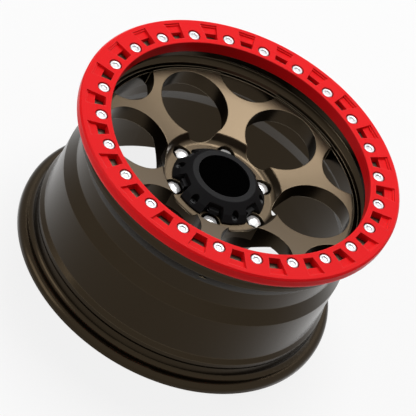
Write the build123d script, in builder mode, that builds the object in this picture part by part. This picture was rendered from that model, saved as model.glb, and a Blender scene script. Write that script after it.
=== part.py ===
from build123d import *

import os
from math import cos, radians, sin, tan

# Forged beadlock wheel: a one-piece body, a bolted clamping ring, a centre cap and its lug nuts.
# Millimetres. The origin is the centre of the hub's mounting face; +Z runs along the axle out of the face.

os.makedirs("parts", exist_ok=True)

# Rim section on the tyre side
rim_width = 215.9
rim_offset = 0.0
bead_seat_radius = 218.3
bead_seat_length = 18.0
bead_seat_drop = 1.5
hump_rise = 1.0
hump_ramp = 4.0
hump_length = 6.3
well_radius = 202.0
well_slope = 26.0
well_length = 31.0
barrel_ramp = 24.0
barrel_radius = 212.0
barrel_taper = 1.5
barrel_back_slope = 7.5
rim_wall = 7.0
flange_height = 17.5
flange_thickness = 13.1
flange_heel_fillet = 6.5
flange_lip_fillet = 9.0
flange_foot_height = 4.0
flange_back_flare = 12.0

# Ring seat and the turned steps inside it
ring_seat_bore = 196.0
ring_seat_thickness = 11.5
undercut_radius = 206.7
undercut_depth = 22.5
undercut_land = 2.0
shoulder_radius = 199.2
shoulder_depth = 28.9
shoulder_fillet = 1.5
channel_radius = 191.2
channel_width = 5.8
channel_depth = 34.0
face_rib_radius = 189.8
face_rib_width = 1.5
face_rib_depth = 29.3
face_groove_width = 1.5
face_groove_depth = 1.2
face_depth = 30.9

# Disc, windows and hub
disc_thickness = 24.0
disc_fillet = 10.0
spoke_root_radius = 115.0
hub_rim_radius = 89.0
hub_rim_height = 57.0
hub_rim_fillet = 1.5
hub_wall_run = 5.5
hub_floor_height = 41.0
hub_floor_fillet = 9.0
hub_pad_radius = 86.0
hub_pad_height = 10.0
hub_bore_radius = 53.05
window_count = 6
window_radius = 51.5
window_circle_radius = 132.5
relief_radius = 50.0
relief_circle_radius = 208.5
relief_outer_radius = 191.0
valve_hole_radius = 5.75
valve_hole_angle = 150.0
valve_hole_tilt = 45.0
valve_hole_length = 30.0

# Lug holes and nuts
lug_circle_radius = 69.85
lug_angle = 30.0
lug_hole_radius = 8.0
lug_pocket_radius = 14.0
lug_seat_radius = 11.0
lug_seat_height = 16.0
lug_seat_half_angle = 30.0
nut_width_across_flats = 19.0
nut_top_height = 42.0
nut_top_radius = 8.7
nut_chamfer_angle = 30.0
nut_bore_radius = 7.2
nut_end_thickness = 6.0
nut_seat_clearance = 0.3

# Clamping ring
ring_bore_radius = 192.0
ring_outer_radius = 237.0
ring_thickness = 19.3
ring_edge = 0.8
ring_front_chamfer = 2.5
ring_heel_fillet = 8.5
pocket_inner_radius = 200.0
pocket_ledge_radius = 226.0
pocket_outer_radius = 228.5
pocket_window_radius = 214.5
pocket_inner_width = 16.5
pocket_outer_width = 26.0
pocket_ledge_depth = 2.0
pocket_floor_depth = 4.0

# Ring bolts
bolt_count = 24
bolt_circle_radius = 206.0
bolt_radius = 4.9
bolt_length = 20.0
bolt_head_radius = 8.0
bolt_head_height = 10.0
bolt_head_chamfer = 0.8
bolt_socket_width = 8.0
bolt_socket_depth = 5.0
bolt_head_recess = 0.8
bolt_head_clearance = 1.3
bolt_hole_clearance = 0.3
bolt_tip_clearance = 1.5

# Centre cap, its plate and its screws
cap_foot_radius = 68.5
cap_foot_height = 2.3
cap_waist_radius = 61.0
cap_waist_height = 11.0
cap_rim_radius = 47.0
cap_rim_height = 23.0
cap_rim_fillet = 2.0
cap_recess_radius = 38.3
cap_recess_depth = 5.0
cap_plate_thickness = 2.0
cap_plate_clearance = 0.3
cap_top_thickness = 4.0
cap_cavity_radius = 50.0
cap_relief_radius = 54.0
cap_relief_height = 1.0
cap_cavity_slope = 6.0
notch_root_radius = 53.5
notch_root_width = 21.0
notch_end_radius = 75.0
notch_end_width = 42.0
block_radius = 59.5
block_width = 14.0
block_height = 9.0
block_lift = 2.0
screw_circle_radius = 61.0
screw_radius = 2.4
screw_length = 16.0
screw_head_radius = 4.75
screw_head_height = 2.8
screw_socket_width = 3.0
screw_socket_depth = 1.6
screw_seat_height = 3.0
screw_head_clearance = 0.75
screw_hole_clearance = 0.3
screw_tip_clearance = 1.0

# Heights along the axle
front_height = rim_width / 2 - rim_offset
flange_face_height = -rim_width / 2 - rim_offset
rim_back_height = flange_face_height - flange_thickness
hump_start = bead_seat_length + hump_ramp
hump_end = hump_start + hump_length
well_front_height = front_height - hump_end - well_slope
well_back_height = well_front_height - well_length
barrel_front_height = well_back_height - barrel_ramp
back_hump_height = flange_face_height + hump_end
barrel_back_height = back_hump_height + barrel_back_slope
face_edge_height = front_height - face_depth
disc_back_height = face_edge_height - disc_thickness
ring_front_height = front_height + ring_thickness
bolt_seat_height = ring_front_height - bolt_head_recess - bolt_head_height
cap_rim_top = hub_floor_height + cap_rim_height
cap_recess_floor = cap_rim_top - cap_recess_depth
screw_seat = hub_floor_height + screw_seat_height

# Radii of the rim
seat_end_radius = bead_seat_radius - bead_seat_drop
hump_radius = seat_end_radius + hump_rise
flange_radius = bead_seat_radius + flange_height
barrel_back_radius = barrel_radius + barrel_taper
face_edge_radius = face_rib_radius - face_rib_width - face_groove_width
valve_radius = (shoulder_radius + undercut_radius) / 2
valve_height = front_height - (shoulder_depth + undercut_depth) / 2
lug_seat_depth = (lug_seat_radius - lug_hole_radius) / tan(radians(lug_seat_half_angle))
cut_margin = 10.0


def face_height(radius):
    """Height of the dished face over a radius."""
    rise = (face_edge_height - hub_rim_height) / (face_edge_radius - hub_rim_radius)
    return hub_rim_height + rise * (radius - hub_rim_radius)


def axle_section(corners):
    """Close a section in the axle's plane through (radius, height, corner fillet) points."""
    points = [(radius, height) for radius, height, _ in corners]
    FilletPolyline(*points, radius=[corner for _, _, corner in corners], close=True)


# Wheel body
with BuildPart() as wheel_body:
    with BuildSketch(Plane.XZ):
        with BuildLine():
            axle_section(
                [
                    (ring_seat_bore, front_height, 0),
                    (bead_seat_radius, front_height, 0),
                    (seat_end_radius, front_height - bead_seat_length, 0),
                    (hump_radius, front_height - hump_start, 0),
                    (hump_radius, front_height - hump_end, 0),
                    (well_radius, well_front_height, 0),
                    (well_radius, well_back_height, 0),
                    (barrel_radius, barrel_front_height, 0),
                    (barrel_back_radius, barrel_back_height, 0),
                    (hump_radius, back_hump_height, 0),
                    (hump_radius, flange_face_height + hump_start, 0),
                    (seat_end_radius, flange_face_height + bead_seat_length, 0),
                    (bead_seat_radius, flange_face_height, flange_heel_fillet),
                    (flange_radius, flange_face_height, flange_lip_fillet),
                    (flange_radius, rim_back_height, 0),
                    (bead_seat_radius + flange_foot_height, rim_back_height, 0),
                    (barrel_back_radius - rim_wall, rim_back_height + flange_back_flare, 0),
                    (barrel_back_radius - rim_wall, barrel_back_height, 0),
                    (barrel_radius - rim_wall, barrel_front_height, 0),
                    (well_radius - rim_wall, well_back_height, 0),
                    (well_radius - rim_wall, disc_back_height, disc_fillet),
                    (spoke_root_radius, face_height(spoke_root_radius) - disc_thickness, 0),
                    (hub_pad_radius, hub_pad_height, 0),
                    (hub_pad_radius, 0, 0),
                    (hub_bore_radius, 0, 0),
                    (hub_bore_radius, hub_floor_height, 0),
                    (hub_rim_radius - hub_wall_run, hub_floor_height, hub_floor_fillet),
                    (hub_rim_radius, hub_rim_height, hub_rim_fillet),
                    (face_edge_radius, face_edge_height, 0),
                    (face_edge_radius + face_groove_width / 2, face_edge_height - face_groove_depth, 0),
                    (face_edge_radius + face_groove_width, front_height - face_rib_depth, 0),
                    (face_rib_radius, front_height - face_rib_depth, 0),
                    (channel_radius, front_height - channel_depth, 0),
                    (channel_radius + channel_width, front_height - channel_depth, 0),
                    (shoulder_radius, front_height - shoulder_depth, shoulder_fillet),
                    (undercut_radius, front_height - undercut_depth, 0),
                    (undercut_radius, front_height - undercut_depth + undercut_land, 0),
                    (ring_seat_bore, front_height - ring_seat_thickness, 0),
                ]
            )
        make_face()
    revolve(axis=Axis.Z)
    # Round windows between the spokes, and the half-moon windows outside them
    with BuildSketch(Plane.XY.offset(front_height)):
        with PolarLocations(window_circle_radius, window_count):
            Circle(window_radius)
    extrude(amount=-(front_height + cut_margin), mode=Mode.SUBTRACT)
    with BuildSketch(Plane.XY.offset(front_height)):
        with PolarLocations(relief_circle_radius, window_count, start_angle=lug_angle):
            Circle(relief_radius)
        Circle(relief_outer_radius, mode=Mode.INTERSECT)
    extrude(amount=-(front_height + cut_margin), mode=Mode.SUBTRACT)
    # Lug pockets with coned seats, and the stud holes under them
    with BuildSketch(Plane.XY.offset(lug_seat_height)):
        with PolarLocations(lug_circle_radius, window_count, start_angle=lug_angle):
            Circle(lug_pocket_radius)
    extrude(amount=hub_rim_height - lug_seat_height, mode=Mode.SUBTRACT)
    with Locations((0, 0, lug_seat_height)):
        with PolarLocations(lug_circle_radius, window_count, start_angle=lug_angle):
            Cone(
                lug_hole_radius,
                lug_seat_radius,
                lug_seat_depth,
                align=(Align.CENTER, Align.CENTER, Align.MAX),
                mode=Mode.SUBTRACT,
            )
    with BuildSketch(Plane.XY):
        with PolarLocations(lug_circle_radius, window_count, start_angle=lug_angle):
            Circle(lug_hole_radius)
    extrude(amount=lug_seat_height, mode=Mode.SUBTRACT)
    # Tapped holes for the ring bolts and the cap screws
    with BuildSketch(Plane.XY.offset(front_height)):
        with PolarLocations(bolt_circle_radius, bolt_count):
            Circle(bolt_radius + bolt_hole_clearance)
    extrude(
        amount=bolt_seat_height - bolt_length - bolt_tip_clearance - front_height,
        mode=Mode.SUBTRACT,
    )
    with BuildSketch(Plane.XY.offset(hub_floor_height)):
        with PolarLocations(screw_circle_radius, window_count):
            Circle(screw_radius + screw_hole_clearance)
    extrude(amount=screw_seat_height - screw_length - screw_tip_clearance, mode=Mode.SUBTRACT)
    # Valve hole, slanting from the turned steps to the slope of the well
    valve_start = Vector(valve_radius, 0, valve_height).rotate(Axis.Z, valve_hole_angle)
    valve_line = Vector(1, 0, 0).rotate(Axis.Y, valve_hole_tilt).rotate(Axis.Z, valve_hole_angle)
    with BuildSketch(Plane(origin=valve_start, z_dir=valve_line)):
        Circle(valve_hole_radius)
    extrude(amount=valve_hole_length / 2, both=True, mode=Mode.SUBTRACT)
wheel_body.part.label = "wheel_body"
export_step(wheel_body.part, "parts/wheel_body.step")


def pocket(inner_radius, outer_radius):
    """Draw one ring pocket between two radii, with sides that close towards the axle."""
    spread = (pocket_outer_width - pocket_inner_width) / (pocket_outer_radius - pocket_inner_radius)
    inner_half = (pocket_inner_width + spread * (inner_radius - pocket_inner_radius)) / 2
    outer_half = (pocket_inner_width + spread * (outer_radius - pocket_inner_radius)) / 2
    Polygon(
        (inner_radius, -inner_half),
        (outer_radius, -outer_half),
        (outer_radius, outer_half),
        (inner_radius, inner_half),
        align=None,
    )


# Clamping ring
with BuildPart() as beadlock_ring:
    with BuildSketch(Plane.XZ):
        with BuildLine():
            axle_section(
                [
                    (ring_bore_radius, front_height + ring_edge, 0),
                    (ring_bore_radius + ring_edge, front_height, 0),
                    (ring_outer_radius, front_height, ring_heel_fillet),
                    (ring_outer_radius, ring_front_height - ring_front_chamfer, 0),
                    (ring_outer_radius - ring_front_chamfer, ring_front_height, 0),
                    (ring_bore_radius + ring_edge, ring_front_height, 0),
                    (ring_bore_radius, ring_front_height - ring_edge, 0),
                ]
            )
        make_face()
    revolve(axis=Axis.Z)
    # Pockets between the bolts: a ledge, a floor, and a window down to the ring seat
    for outer_radius, depth in (
        (pocket_outer_radius, pocket_ledge_depth),
        (pocket_ledge_radius, pocket_floor_depth),
        (pocket_window_radius, ring_thickness),
    ):
        with BuildSketch(Plane.XY.offset(ring_front_height)):
            with PolarLocations(0, bolt_count, start_angle=180 / bolt_count):
                pocket(pocket_inner_radius, outer_radius)
        extrude(amount=-depth, mode=Mode.SUBTRACT)
    # Counterbored bolt holes
    with Locations(Plane.XY.offset(ring_front_height)):
        with PolarLocations(bolt_circle_radius, bolt_count):
            CounterBoreHole(
                bolt_radius + bolt_hole_clearance,
                bolt_head_radius + bolt_head_clearance,
                bolt_head_recess + bolt_head_height,
                ring_thickness,
            )
beadlock_ring.part.label = "beadlock_ring"
export_step(beadlock_ring.part, "parts/beadlock_ring.step")

# Ring bolts: one socket-head bolt, set round the ring
with BuildPart() as bolt:
    with BuildSketch(Plane.XY.offset(bolt_seat_height)):
        Circle(bolt_head_radius)
    extrude(amount=bolt_head_height)
    chamfer(bolt.edges().group_by(Axis.Z)[-1], bolt_head_chamfer)
    with BuildSketch(Plane.XY.offset(bolt_seat_height + bolt_head_height)):
        RegularPolygon(bolt_socket_width / 2, 6, major_radius=False)
    extrude(amount=-bolt_socket_depth, mode=Mode.SUBTRACT)
    with BuildSketch(Plane.XY.offset(bolt_seat_height)):
        Circle(bolt_radius)
    extrude(amount=-bolt_length)
with BuildPart() as beadlock_bolts:
    with PolarLocations(bolt_circle_radius, bolt_count):
        add(bolt.part)
beadlock_bolts.part.label = "beadlock_bolts"
export_step(beadlock_bolts.part, "parts/beadlock_bolts.step")

# Centre cap
with BuildPart() as centre_cap:
    with BuildSketch(Plane.XZ):
        with BuildLine():
            axle_section(
                [
                    (cap_cavity_radius, hub_floor_height + cap_relief_height, 0),
                    (cap_relief_radius, hub_floor_height + cap_relief_height, 0),
                    (cap_relief_radius, hub_floor_height, 0),
                    (cap_foot_radius, hub_floor_height, 0),
                    (cap_foot_radius, hub_floor_height + cap_foot_height, 0),
                    (cap_waist_radius, hub_floor_height + cap_waist_height, 0),
                    (cap_rim_radius, cap_rim_top, cap_rim_fillet),
                    (cap_recess_radius, cap_rim_top, 0),
                    (cap_recess_radius, cap_recess_floor, 0),
                    (0, cap_recess_floor, 0),
                    (0, cap_recess_floor - cap_top_thickness, 0),
                    (cap_cavity_radius - cap_cavity_slope, cap_recess_floor - cap_top_thickness, 0),
                    (cap_cavity_radius, cap_recess_floor - cap_top_thickness - cap_cavity_slope, 0),
                ]
            )
        make_face()
    revolve(axis=Axis.Z)
    # Notches over the lug nuts leave the six lobes, with a locating block at the root of each
    with BuildSketch(Plane.XY.offset(cap_rim_top)):
        with PolarLocations(0, window_count, start_angle=lug_angle):
            Polygon(
                (notch_root_radius, -notch_root_width / 2),
                (notch_end_radius, -notch_end_width / 2),
                (notch_end_radius, notch_end_width / 2),
                (notch_root_radius, notch_root_width / 2),
                align=None,
            )
    extrude(amount=-cap_rim_height, mode=Mode.SUBTRACT)
    with BuildSketch(Plane.XY.offset(hub_floor_height + block_lift)):
        with PolarLocations((block_radius + cap_cavity_radius) / 2, window_count, start_angle=lug_angle):
            Rectangle(block_radius - cap_cavity_radius, block_width)
    extrude(amount=block_height - block_lift)
    # Counterbored screw holes through the lobes
    with BuildSketch(Plane.XY.offset(screw_seat)):
        with PolarLocations(screw_circle_radius, window_count):
            Circle(screw_head_radius + screw_head_clearance)
    extrude(amount=cap_rim_height, mode=Mode.SUBTRACT)
    with BuildSketch(Plane.XY.offset(screw_seat)):
        with PolarLocations(screw_circle_radius, window_count):
            Circle(screw_radius + screw_hole_clearance)
    extrude(amount=-screw_seat_height, mode=Mode.SUBTRACT)
centre_cap.part.label = "centre_cap"
export_step(centre_cap.part, "parts/centre_cap.step")

# Plain plate in the cap's opening
with BuildPart() as cap_plate:
    with BuildSketch(Plane.XY.offset(cap_recess_floor)):
        Circle(cap_recess_radius - cap_plate_clearance)
    extrude(amount=cap_plate_thickness)
cap_plate.part.label = "cap_plate"
export_step(cap_plate.part, "parts/cap_plate.step")

# Cap screws: one low-head screw, set in each lobe
with BuildPart() as screw:
    with BuildSketch(Plane.XY.offset(screw_seat)):
        Circle(screw_head_radius)
    extrude(amount=screw_head_height)
    with BuildSketch(Plane.XY.offset(screw_seat + screw_head_height)):
        RegularPolygon(screw_socket_width / 2, 6, major_radius=False)
    extrude(amount=-screw_socket_depth, mode=Mode.SUBTRACT)
    with BuildSketch(Plane.XY.offset(screw_seat)):
        Circle(screw_radius)
    extrude(amount=-screw_length)
with BuildPart() as cap_screws:
    with PolarLocations(screw_circle_radius, window_count):
        add(screw.part)
cap_screws.part.label = "cap_screws"
export_step(cap_screws.part, "parts/cap_screws.step")

# Lug nuts: a closed hex nut with a coned seat, set on each stud place
nut_lift = nut_seat_clearance / sin(radians(lug_seat_half_angle))
nut_seat_top = lug_seat_height + nut_lift
nut_foot_radius = lug_hole_radius + nut_lift * tan(radians(lug_seat_half_angle))
nut_foot_height = nut_seat_top - lug_seat_depth + nut_lift
nut_corner_radius = nut_width_across_flats / 2 / cos(radians(30))
nut_chamfer_drop = (nut_corner_radius - nut_top_radius) * tan(radians(nut_chamfer_angle))
with BuildPart() as nut:
    with BuildSketch(Plane.XY.offset(nut_seat_top)):
        RegularPolygon(nut_width_across_flats / 2, 6, major_radius=False)
    extrude(amount=nut_top_height - nut_seat_top)
    # The corners of the closed end are turned away
    with BuildSketch(Plane.XZ):
        with BuildLine():
            Polyline(
                (0, nut_seat_top),
                (nut_corner_radius, nut_seat_top),
                (nut_corner_radius, nut_top_height - nut_chamfer_drop),
                (nut_top_radius, nut_top_height),
                (0, nut_top_height),
                close=True,
            )
        make_face()
    revolve(axis=Axis.Z, mode=Mode.INTERSECT)
    with Locations((0, 0, nut_seat_top)):
        Cone(
            nut_foot_radius,
            lug_seat_radius,
            nut_seat_top - nut_foot_height,
            align=(Align.CENTER, Align.CENTER, Align.MAX),
        )
    with BuildSketch(Plane.XY.offset(nut_foot_height)):
        Circle(nut_bore_radius)
    extrude(amount=nut_top_height - nut_end_thickness - nut_foot_height, mode=Mode.SUBTRACT)
with BuildPart() as lug_nuts:
    with PolarLocations(lug_circle_radius, window_count, start_angle=lug_angle):
        add(nut.part)
lug_nuts.part.label = "lug_nuts"
export_step(lug_nuts.part, "parts/lug_nuts.step")
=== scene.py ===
import math

import bpy
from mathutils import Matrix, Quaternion, Vector


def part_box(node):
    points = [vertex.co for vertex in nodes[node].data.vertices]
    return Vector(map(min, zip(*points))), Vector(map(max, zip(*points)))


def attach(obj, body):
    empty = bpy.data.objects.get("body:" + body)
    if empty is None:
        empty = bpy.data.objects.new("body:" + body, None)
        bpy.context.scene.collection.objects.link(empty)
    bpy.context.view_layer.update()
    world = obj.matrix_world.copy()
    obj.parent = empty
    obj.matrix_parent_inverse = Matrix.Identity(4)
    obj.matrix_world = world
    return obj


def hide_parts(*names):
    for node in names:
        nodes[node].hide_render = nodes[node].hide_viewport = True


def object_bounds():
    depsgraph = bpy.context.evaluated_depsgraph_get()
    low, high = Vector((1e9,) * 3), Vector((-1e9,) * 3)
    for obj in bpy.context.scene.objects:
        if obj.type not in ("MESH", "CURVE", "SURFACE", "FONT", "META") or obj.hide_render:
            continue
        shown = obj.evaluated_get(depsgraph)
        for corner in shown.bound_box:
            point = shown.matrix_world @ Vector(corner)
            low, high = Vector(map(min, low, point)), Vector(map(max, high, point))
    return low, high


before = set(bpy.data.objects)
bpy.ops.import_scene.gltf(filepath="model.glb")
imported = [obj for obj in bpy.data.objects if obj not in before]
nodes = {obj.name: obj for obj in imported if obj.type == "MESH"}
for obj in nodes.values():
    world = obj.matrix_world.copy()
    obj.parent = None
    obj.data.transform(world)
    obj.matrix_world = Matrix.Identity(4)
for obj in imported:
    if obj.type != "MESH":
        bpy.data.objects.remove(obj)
cad_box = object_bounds()
scene = bpy.context.scene
MM = 0.001

# Camera: the photograph's viewpoint, rolled to the left about its own axis
CAMERA_TARGET = Vector((-3.5, -0.6, 0.0)) * MM
CAMERA_DISTANCE = 4553.0 * MM
CAMERA_AZIMUTH = math.radians(138.315)
CAMERA_ELEVATION = math.radians(41.365)
CAMERA_ROLL = math.radians(30.656)
CAMERA_LENS = 283.68
CAMERA_SENSOR = 36.0

# Studio: a pale floor, even light all round, and three soft panels as (azimuth, elevation, size, power)
FLOOR_SIZE = 30.0
FLOOR_COLOUR = (0.82, 0.82, 0.82, 1.0)
FLOOR_WHITE = 0.84
WHITE = (1.0, 1.0, 1.0, 1.0)
WORLD_FILL = 0.15
PANEL_DISTANCE = 4.0
PANELS = {
    "key": (318.0, 66.0, 2.0, 120.0),
    "back_card": (318.0, 20.0, 2.4, 24.0),
    "left_card": (70.0, 25.0, 2.4, 45.0),
}

# Colours of the finishes
BRONZE_LIGHT = (0.034, 0.0250, 0.0155, 1.0)
BRONZE_DARK = (0.026, 0.0190, 0.0115, 1.0)
# Lighter bronze painted along rounded edges as a painted highlight
BRONZE_EDGE_HIGHLIGHT = (0.17, 0.135, 0.09, 1.0)
# Satin colours: lighter than the bronze, painted light on the forward-facing front
PAINTED_LIT_SATIN_LIGHT = (0.088, 0.066, 0.043, 1.0)
PAINTED_LIT_SATIN_DARK = (0.070, 0.052, 0.033, 1.0)
RED_LIGHT = (0.88, 0.011, 0.014, 1.0)
RED_DARK = (0.80, 0.008, 0.011, 1.0)
# Lighter red painted along rounded edges as a painted highlight
RED_EDGE_HIGHLIGHT = (0.90, 0.05, 0.05, 1.0)
STEEL_LIGHT = (0.62, 0.62, 0.63, 1.0)
STEEL_DARK = (0.52, 0.52, 0.53, 1.0)
CHROME_LIGHT = (0.95, 0.95, 0.95, 1.0)
CHROME_DARK = (0.90, 0.90, 0.90, 1.0)
CAP_LIGHT = (0.0095, 0.0095, 0.0100, 1.0)
CAP_DARK = (0.0065, 0.0065, 0.0070, 1.0)
# Lighter black painted along rounded edges as a painted highlight
CAP_EDGE_HIGHLIGHT = (0.035, 0.035, 0.036, 1.0)
PLATE_LIGHT = (0.0012, 0.0012, 0.0012, 1.0)
PLATE_DARK = (0.0005, 0.0005, 0.0005, 1.0)

# Satin front of the spokes and hub, painted in a lighter colour as painted light: inside this radius, above
# this height, facing forwards or in the hub's bowl
SATIN_RADIUS = 188.2 * MM
BOWL_RADIUS = 90.0 * MM
SATIN_HEIGHT = 30.0 * MM
SATIN_ROUGHNESS = 0.36

# Ring bolts
BOLT_COUNT = 24
BOLT_PITCH_RADIUS = 206.0 * MM
BOLT_RADIUS = 4.9 * MM
BOLT_TIP_CHAMFER = 0.8 * MM
BOLT_HEAD_RADIUS = 8.0 * MM
BOLT_HEAD_HEIGHT = 10.0 * MM
BOLT_HEAD_FILLET = 1.4 * MM
BOLT_SOCKET_WIDTH = 8.0 * MM
BOLT_SOCKET_LEAD = 0.35 * MM
BOLT_SOCKET_DEPTH = 1.7 * MM
BOLT_SOCKET_POINT = 0.5 * MM

# Lug nuts
NUT_COUNT = 6
NUT_PITCH_RADIUS = 69.85 * MM
NUT_START_ANGLE = math.radians(30.0)
NUT_WIDTH = 19.0 * MM
NUT_SEAT_HEIGHT = 4.6 * MM
NUT_FOOT_RADIUS = 8.346 * MM
NUT_BORE_RADIUS = 7.2 * MM
NUT_END_THICKNESS = 6.0 * MM
NUT_TOP_RADIUS = 8.9 * MM
NUT_DOME_HEIGHT = 2.0 * MM
NUT_CHAMFER_SLOPE = math.tan(math.radians(30.0))

# Pads of the rim that stand in the ring's windows
PAD_INNER_RADIUS = 200.3 * MM
PAD_OUTER_RADIUS = 214.2 * MM
PAD_INNER_WIDTH = 15.9 * MM
PAD_OUTER_WIDTH = 20.5 * MM
PAD_HEIGHT = 9.0 * MM
PAD_EDGE = 0.5 * MM

ROUND_STEPS = 48
ARC_STEPS = 4
DOME_STEPS = 6


def direction(azimuth, elevation):
    """Unit vector towards an azimuth, counted from +X, and an elevation."""
    flat = math.cos(elevation)
    return Vector((math.cos(azimuth) * flat, math.sin(azimuth) * flat, math.sin(elevation)))


def add_node(tree, kind, **values):
    """Add a shader node and set its properties and its input values by name."""
    node = tree.nodes.new(kind)
    for name, value in values.items():
        label = name.replace("_", " ").title()
        if label in node.inputs:
            node.inputs[label].default_value = value
        else:
            setattr(node, name, value)
    return node


def add_math(tree, operation, first, second):
    """Add a math node; each of its two inputs is a socket to link or a number."""
    node = add_node(tree, "ShaderNodeMath", operation=operation)
    for socket, value in zip(node.inputs, (first, second)):
        if isinstance(value, bpy.types.NodeSocket):
            tree.links.new(value, socket)
        else:
            socket.default_value = value
    return node.outputs["Value"]


def finish_material(name, light, dark, edge, grain, roughness, spread, bump, soft_radius, **constants):
    """A coated or bare metal finish: fine mottle, turned lines in the gloss, a slight bump and softened edges.

    grain is the mottle's size, spread its reach in roughness, bump its depth; edge is a lighter colour painted
    along the softened edges as a painted highlight, whose rounding has soft_radius.
    """
    material = bpy.data.materials.new(name)
    material.use_nodes = True
    tree = material.node_tree
    link = tree.links.new
    shader = tree.nodes["Principled BSDF"]
    for socket, value in constants.items():
        shader.inputs[socket.replace("_", " ")].default_value = value
    place = add_node(tree, "ShaderNodeTexCoord")
    geometry = add_node(tree, "ShaderNodeNewGeometry", name="geometry")
    # Mottle of the coat, and a painted highlight: a lighter line where an edge is rounded
    mottle = add_node(tree, "ShaderNodeTexNoise", scale=1.0 / grain, detail=3.0, name="mottle")
    link(place.outputs["Object"], mottle.inputs["Vector"])
    tint = add_node(tree, "ShaderNodeMix", data_type="RGBA", name="tint")
    tint.inputs[6].default_value = dark
    tint.inputs[7].default_value = light
    link(mottle.outputs["Fac"], tint.inputs[0])
    soft = add_node(tree, "ShaderNodeBevel", samples=6, radius=soft_radius)
    turn = add_node(tree, "ShaderNodeVectorMath", operation="DOT_PRODUCT")
    link(soft.outputs["Normal"], turn.inputs[0])
    link(geometry.outputs["Normal"], turn.inputs[1])
    # Mask of the painted edge highlight: it rises where the rounded normal turns away from the true one
    edge_highlight_mask = add_node(tree, "ShaderNodeMapRange")
    edge_highlight_mask.inputs["From Min"].default_value = 0.995
    edge_highlight_mask.inputs["From Max"].default_value = 0.88
    link(turn.outputs["Value"], edge_highlight_mask.inputs["Value"])
    # Painted highlight: the edge colour is mixed in along rounded edges
    painted_edge_highlight = add_node(tree, "ShaderNodeMix", data_type="RGBA", name="painted_edge_highlight")
    painted_edge_highlight.inputs[7].default_value = edge
    link(edge_highlight_mask.outputs["Result"], painted_edge_highlight.inputs[0])
    link(tint.outputs[2], painted_edge_highlight.inputs[6])
    link(painted_edge_highlight.outputs[2], shader.inputs["Base Color"])
    # Gloss: faint lines round the axle, as turning leaves them
    flat = add_node(tree, "ShaderNodeVectorMath", operation="MULTIPLY")
    flat.inputs[1].default_value = (1.0, 1.0, 0.0)
    link(place.outputs["Object"], flat.inputs[0])
    reach = add_node(tree, "ShaderNodeVectorMath", operation="LENGTH", name="reach")
    link(flat.outputs["Vector"], reach.inputs[0])
    height = add_node(tree, "ShaderNodeSeparateXYZ", name="height")
    link(place.outputs["Object"], height.inputs[0])
    section = add_node(tree, "ShaderNodeCombineXYZ")
    link(reach.outputs["Value"], section.inputs["X"])
    link(height.outputs["Z"], section.inputs["Y"])
    lines = add_node(tree, "ShaderNodeTexNoise", scale=0.4 / grain, detail=2.0)
    link(section.outputs["Vector"], lines.inputs["Vector"])
    gloss = add_node(tree, "ShaderNodeMapRange", name="gloss")
    gloss.inputs["To Min"].default_value = roughness - spread
    gloss.inputs["To Max"].default_value = roughness + spread
    link(lines.outputs["Fac"], gloss.inputs["Value"])
    link(gloss.outputs["Result"], shader.inputs["Roughness"])
    relief = add_node(tree, "ShaderNodeBump", strength=0.5, distance=bump)
    link(mottle.outputs["Fac"], relief.inputs["Height"])
    link(soft.outputs["Normal"], relief.inputs["Normal"])
    link(relief.outputs["Normal"], shader.inputs["Normal"])
    return material


def add_satin_and_painted_light_front(material):
    """Blend a satin finish into the front of the spokes and hub, with a lighter colour there as painted light.
    """
    tree = material.node_tree
    link = tree.links.new
    node = tree.nodes
    facing = add_node(tree, "ShaderNodeSeparateXYZ")
    link(node["geometry"].outputs["True Normal"], facing.inputs[0])
    forward = add_node(tree, "ShaderNodeMapRange", interpolation_type="SMOOTHSTEP")
    forward.inputs["From Min"].default_value = 0.25
    forward.inputs["From Max"].default_value = 0.5
    link(facing.outputs["Z"], forward.inputs["Value"])
    inside = add_math(tree, "LESS_THAN", node["reach"].outputs["Value"], SATIN_RADIUS)
    above = add_math(tree, "GREATER_THAN", node["height"].outputs["Z"], SATIN_HEIGHT)
    front = add_math(tree, "MULTIPLY", inside, above)
    bowl = add_math(tree, "LESS_THAN", node["reach"].outputs["Value"], BOWL_RADIUS)
    faces = add_math(tree, "MAXIMUM", forward.outputs["Result"], bowl)
    share = add_math(tree, "MULTIPLY", front, faces)
    # The lighter satin colour is painted light on the surfaces that face forwards
    satin = add_node(tree, "ShaderNodeMix", data_type="RGBA")
    satin.inputs[6].default_value = PAINTED_LIT_SATIN_DARK
    satin.inputs[7].default_value = PAINTED_LIT_SATIN_LIGHT
    link(node["mottle"].outputs["Fac"], satin.inputs[0])
    coat = add_node(tree, "ShaderNodeMix", data_type="RGBA")
    link(share, coat.inputs[0])
    link(node["tint"].outputs[2], coat.inputs[6])
    link(satin.outputs[2], coat.inputs[7])
    link(coat.outputs[2], node["painted_edge_highlight"].inputs[6])
    gloss = add_node(tree, "ShaderNodeMix", data_type="FLOAT")
    gloss.inputs[3].default_value = SATIN_ROUGHNESS
    link(share, gloss.inputs[0])
    link(node["gloss"].outputs["Result"], gloss.inputs[2])
    link(gloss.outputs[0], node["Principled BSDF"].inputs["Roughness"])


def dress(node, material):
    """Give a node of the frame its finish."""
    slots = nodes[node].data.materials
    slots.clear()
    slots.append(material)


def hex_radius(width, angle):
    """Distance from a hexagon's centre to its outline, for its width across flats."""
    sixth = math.radians(60.0)
    return width / 2 / math.cos((angle + sixth / 2) % sixth - sixth / 2)


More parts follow.
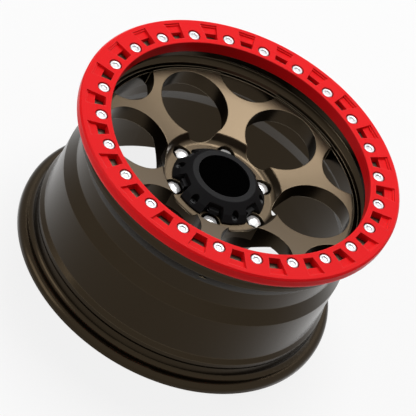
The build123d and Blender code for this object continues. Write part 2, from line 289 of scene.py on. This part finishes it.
def turned_mesh(rings, low_centre, high_centre):
    """Vertices and faces of a turned form that is closed by two centre points.

    Each ring gives a point's radius and height for an angle; the rings run from one centre to the other.
    """
    vertices = [(0.0, 0.0, low_centre)]
    for ring in rings:
        for step in range(ROUND_STEPS):
            angle = math.tau * step / ROUND_STEPS
            radius, height = ring(angle)
            vertices.append((radius * math.cos(angle), radius * math.sin(angle), height))
    vertices.append((0.0, 0.0, high_centre))
    faces = []
    last = len(vertices) - 1
    for step in range(ROUND_STEPS):
        after = (step + 1) % ROUND_STEPS
        faces.append((0, 1 + after, 1 + step))
        for row in range(len(rings) - 1):
            near, far = 1 + row * ROUND_STEPS, 1 + (row + 1) * ROUND_STEPS
            faces.append((near + step, near + after, far + after, far + step))
        top = 1 + (len(rings) - 1) * ROUND_STEPS
        faces.append((top + step, top + after, last))
    return vertices, faces


def make_circle_of(name, form, count, pitch_radius, start_angle, material, smooth_angle):
    """One piece with copies of a form set round the axle."""
    vertices, faces = form
    all_vertices, all_faces = [], []
    for copy in range(count):
        turn = start_angle + math.tau * copy / count
        cosine, sine = math.cos(turn), math.sin(turn)
        offset = len(all_vertices)
        for x, y, z in vertices:
            along = x + pitch_radius
            all_vertices.append((along * cosine - y * sine, along * sine + y * cosine, z))
        all_faces += [tuple(offset + index for index in face) for face in faces]
    mesh = bpy.data.meshes.new(name)
    mesh.from_pydata(all_vertices, [], all_faces)
    mesh.materials.append(material)
    piece = bpy.data.objects.new(name, mesh)
    scene.collection.objects.link(piece)
    mesh.shade_smooth()
    mesh.set_sharp_from_angle(angle=math.radians(smooth_angle))
    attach(piece, "root")
    return piece


def at(radius, height):
    """A round ring of a turned form."""
    return lambda angle: (radius, height)


def hexagon(width, height):
    """A six-sided ring of a turned form."""
    return lambda angle: (hex_radius(width, angle), height)


def make_bolts(material):
    """Socket-head ring bolts with rounded heads and a shallow hex socket."""
    low, high = (corner.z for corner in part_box("beadlock_bolts"))
    seat = high - BOLT_HEAD_HEIGHT
    rings = [
        at(BOLT_RADIUS - BOLT_TIP_CHAMFER, low),
        at(BOLT_RADIUS, low + BOLT_TIP_CHAMFER),
        at(BOLT_RADIUS, seat),
        at(BOLT_HEAD_RADIUS, seat),
    ]
    for step in range(ARC_STEPS + 1):
        bend = math.radians(90.0) * step / ARC_STEPS
        inset = BOLT_HEAD_FILLET * (1.0 - math.cos(bend))
        drop = BOLT_HEAD_FILLET * (1.0 - math.sin(bend))
        rings.append(at(BOLT_HEAD_RADIUS - inset, high - drop))
    lead_radius = hex_radius(BOLT_SOCKET_WIDTH, math.radians(30.0)) + BOLT_SOCKET_LEAD
    floor = high - BOLT_SOCKET_DEPTH
    rings += [
        at(lead_radius, high),
        hexagon(BOLT_SOCKET_WIDTH, high - BOLT_SOCKET_LEAD),
        hexagon(BOLT_SOCKET_WIDTH, floor),
    ]
    form = turned_mesh(rings, low, floor - BOLT_SOCKET_POINT)
    bolts = make_circle_of("ring_bolts", form, BOLT_COUNT, BOLT_PITCH_RADIUS, 0.0, material, 35.0)
    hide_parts("beadlock_bolts")


def make_nuts(material):
    """Closed hex lug nuts with a domed end, turned corners, a coned seat and a blind bore."""
    low, high = (corner.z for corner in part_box("lug_nuts"))
    seat = low + NUT_SEAT_HEIGHT
    shoulder = high - NUT_DOME_HEIGHT
    bore_end = high - NUT_END_THICKNESS

    def corner_line(angle):
        """The edge where the hexagon's sides meet the turned chamfer."""
        radius = hex_radius(NUT_WIDTH, angle)
        return radius, shoulder - (radius - NUT_TOP_RADIUS) * NUT_CHAMFER_SLOPE

    rings = [
        at(NUT_BORE_RADIUS, bore_end),
        at(NUT_BORE_RADIUS, low),
        at(NUT_FOOT_RADIUS, low),
        hexagon(NUT_WIDTH, seat),
        corner_line,
    ]
    for step in range(DOME_STEPS):
        share = 1.0 - step / DOME_STEPS
        rings.append(at(NUT_TOP_RADIUS * share, high - NUT_DOME_HEIGHT * share * share))
    form = turned_mesh(rings, bore_end, high)
    nuts = make_circle_of("domed_nuts", form, NUT_COUNT, NUT_PITCH_RADIUS, NUT_START_ANGLE, material, 25.0)
    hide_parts("lug_nuts")


def make_pads(material):
    """Bronze pads that stand up from the rim into the ring's windows."""
    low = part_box("beadlock_ring")[0].z
    high = low + PAD_HEIGHT
    inner, outer = PAD_INNER_WIDTH / 2, PAD_OUTER_WIDTH / 2
    plan = [
        (PAD_INNER_RADIUS, -inner),
        (PAD_OUTER_RADIUS, -outer),
        (PAD_OUTER_RADIUS, outer),
        (PAD_INNER_RADIUS, inner),
    ]
    vertices = [(x, y, z) for z in (low, high) for x, y in plan]
    sides = [(k, (k + 1) % 4, (k + 1) % 4 + 4, k + 4) for k in range(4)]
    form = (vertices, [(3, 2, 1, 0), (4, 5, 6, 7)] + sides)
    half_step = math.pi / BOLT_COUNT
    pads = make_circle_of("rim_pads", form, BOLT_COUNT, 0.0, half_step, material, 30.0)
    edges = pads.modifiers.new("edges", "BEVEL")
    edges.width = PAD_EDGE
    edges.segments = 2


def seen_or_mirrored(tree):
    """One for the rays from the camera and for those by way of a mirror or glass, else zero."""
    path = add_node(tree, "ShaderNodeLightPath")
    mirrored = add_math(tree, "MAXIMUM", path.outputs["Is Glossy Ray"], path.outputs["Is Transmission Ray"])
    return add_math(tree, "MAXIMUM", path.outputs["Is Camera Ray"], mirrored)


def make_floor():
    """A wide pale floor under the back flange, almost white to the eye, with the wheel's shadow."""
    low = cad_box[0].z
    half = FLOOR_SIZE / 2
    mesh = bpy.data.meshes.new("floor")
    corners = [(-half, -half, low), (half, -half, low), (half, half, low), (-half, half, low)]
    mesh.from_pydata(corners, [], [(0, 1, 2, 3)])
    floor = bpy.data.objects.new("floor", mesh)
    scene.collection.objects.link(floor)
    material = bpy.data.materials.new("floor_paper")
    material.use_nodes = True
    tree = material.node_tree
    shader = tree.nodes["Principled BSDF"]
    shader.inputs["Base Color"].default_value = FLOOR_COLOUR
    shader.inputs["Roughness"].default_value = 0.9
    shader.inputs["Specular IOR Level"].default_value = 0.0
    glow = add_node(tree, "ShaderNodeEmission", color=WHITE, strength=1.0)
    blend = add_node(tree, "ShaderNodeMixShader")
    tree.links.new(add_math(tree, "MULTIPLY", seen_or_mirrored(tree), FLOOR_WHITE), blend.inputs["Fac"])
    tree.links.new(shader.outputs["BSDF"], blend.inputs[1])
    tree.links.new(glow.outputs["Emission"], blend.inputs[2])
    tree.links.new(blend.outputs["Shader"], tree.nodes["Material Output"].inputs["Surface"])
    mesh.materials.append(material)


def make_panel(name, azimuth, elevation, size, power):
    """A square soft light that faces the wheel."""
    lamp = bpy.data.lights.new(name, "AREA")
    lamp.shape = "SQUARE"
    lamp.size = size
    lamp.energy = power
    panel = bpy.data.objects.new(name, lamp)
    scene.collection.objects.link(panel)
    towards = direction(math.radians(azimuth), math.radians(elevation))
    panel.location = towards * PANEL_DISTANCE
    panel.rotation_euler = towards.to_track_quat("Z", "Y").to_euler()


def make_world():
    """Even light from all round, seen as white."""
    world = bpy.data.worlds.new("studio")
    world.use_nodes = True
    tree = world.node_tree
    background = tree.nodes["Background"]
    background.inputs["Color"].default_value = WHITE
    strength = add_node(tree, "ShaderNodeMapRange")
    strength.inputs["To Min"].default_value = WORLD_FILL
    strength.inputs["To Max"].default_value = 1.0
    tree.links.new(seen_or_mirrored(tree), strength.inputs["Value"])
    tree.links.new(strength.outputs["Result"], background.inputs["Strength"])
    scene.world = world


def make_camera():
    """The photograph's camera."""
    data = bpy.data.cameras.new("camera")
    data.lens = CAMERA_LENS
    data.sensor_width = CAMERA_SENSOR
    camera = bpy.data.objects.new("camera", data)
    scene.collection.objects.link(camera)
    back = direction(CAMERA_AZIMUTH, CAMERA_ELEVATION)
    camera.rotation_mode = "QUATERNION"
    camera.location = CAMERA_TARGET + back * CAMERA_DISTANCE
    camera.rotation_quaternion = (-back).to_track_quat("-Z", "Y") @ Quaternion((0, 0, 1), CAMERA_ROLL)
    scene.camera = camera


# Body: dark glossy bronze, satin on the front of the spokes and hub, whose lighter colour there is painted
# light
bronze_coat = finish_material(
    "bronze_coat", BRONZE_LIGHT, BRONZE_DARK, BRONZE_EDGE_HIGHLIGHT, 0.5 * MM, 0.22, 0.03, 0.003 * MM, 1.4 * MM,
    Metallic=1.0,
)
add_satin_and_painted_light_front(bronze_coat)
dress("wheel_body", bronze_coat)
# Pads: satin finish in the lighter satin colours, painted light on their tops
make_pads(finish_material(
    "painted_lit_satin_bronze", PAINTED_LIT_SATIN_LIGHT, PAINTED_LIT_SATIN_DARK, BRONZE_EDGE_HIGHLIGHT, 0.5 * MM, SATIN_ROUGHNESS, 0.03, 0.003 * MM, 0.5 * MM,
    Metallic=0.7,
))

# Ring: red powder coat
dress("beadlock_ring", finish_material(
    "red_coat", RED_LIGHT, RED_DARK, RED_EDGE_HIGHLIGHT, 0.6 * MM, 0.28, 0.05, 0.006 * MM, 0.9 * MM,
    Metallic=0.0, Specular_IOR_Level=0.05,
))
# Bolts: the light steel tone is also painted along their edges as a painted highlight
make_bolts(finish_material(
    "plated_steel", STEEL_LIGHT, STEEL_DARK, STEEL_LIGHT, 0.4 * MM, 0.3, 0.06, 0.003 * MM, 0.4 * MM,
    Metallic=0.45,
))
# Nuts: the light chrome tone is also painted along their edges as a painted highlight
make_nuts(finish_material(
    "chrome", CHROME_LIGHT, CHROME_DARK, CHROME_LIGHT, 0.8 * MM, 0.12, 0.03, 0.001 * MM, 0.5 * MM,
    Metallic=0.6,
))

# Cap, its plate and screws
dress("centre_cap", finish_material(
    "black_cap", CAP_LIGHT, CAP_DARK, CAP_EDGE_HIGHLIGHT, 0.5 * MM, 0.5, 0.06, 0.008 * MM, 1.2 * MM,
    Metallic=0.0, Specular_IOR_Level=0.07,
))
# Plate: its lighter tone is also painted along its edges as a painted highlight
dress("cap_plate", finish_material(
    "black_plate", PLATE_LIGHT, PLATE_DARK, PLATE_LIGHT, 0.5 * MM, 0.6, 0.05, 0.004 * MM, 0.5 * MM,
    Metallic=0.0, Specular_IOR_Level=0.0,
))
dress("cap_screws", finish_material(
    "black_steel", CAP_LIGHT, CAP_DARK, CAP_EDGE_HIGHLIGHT, 0.3 * MM, 0.4, 0.05, 0.004 * MM, 0.3 * MM,
    Metallic=0.6,
))

make_floor()
make_world()
for panel_name, panel_values in PANELS.items():
    make_panel(panel_name, *panel_values)
make_camera()
scene.view_settings.view_transform = "Standard"
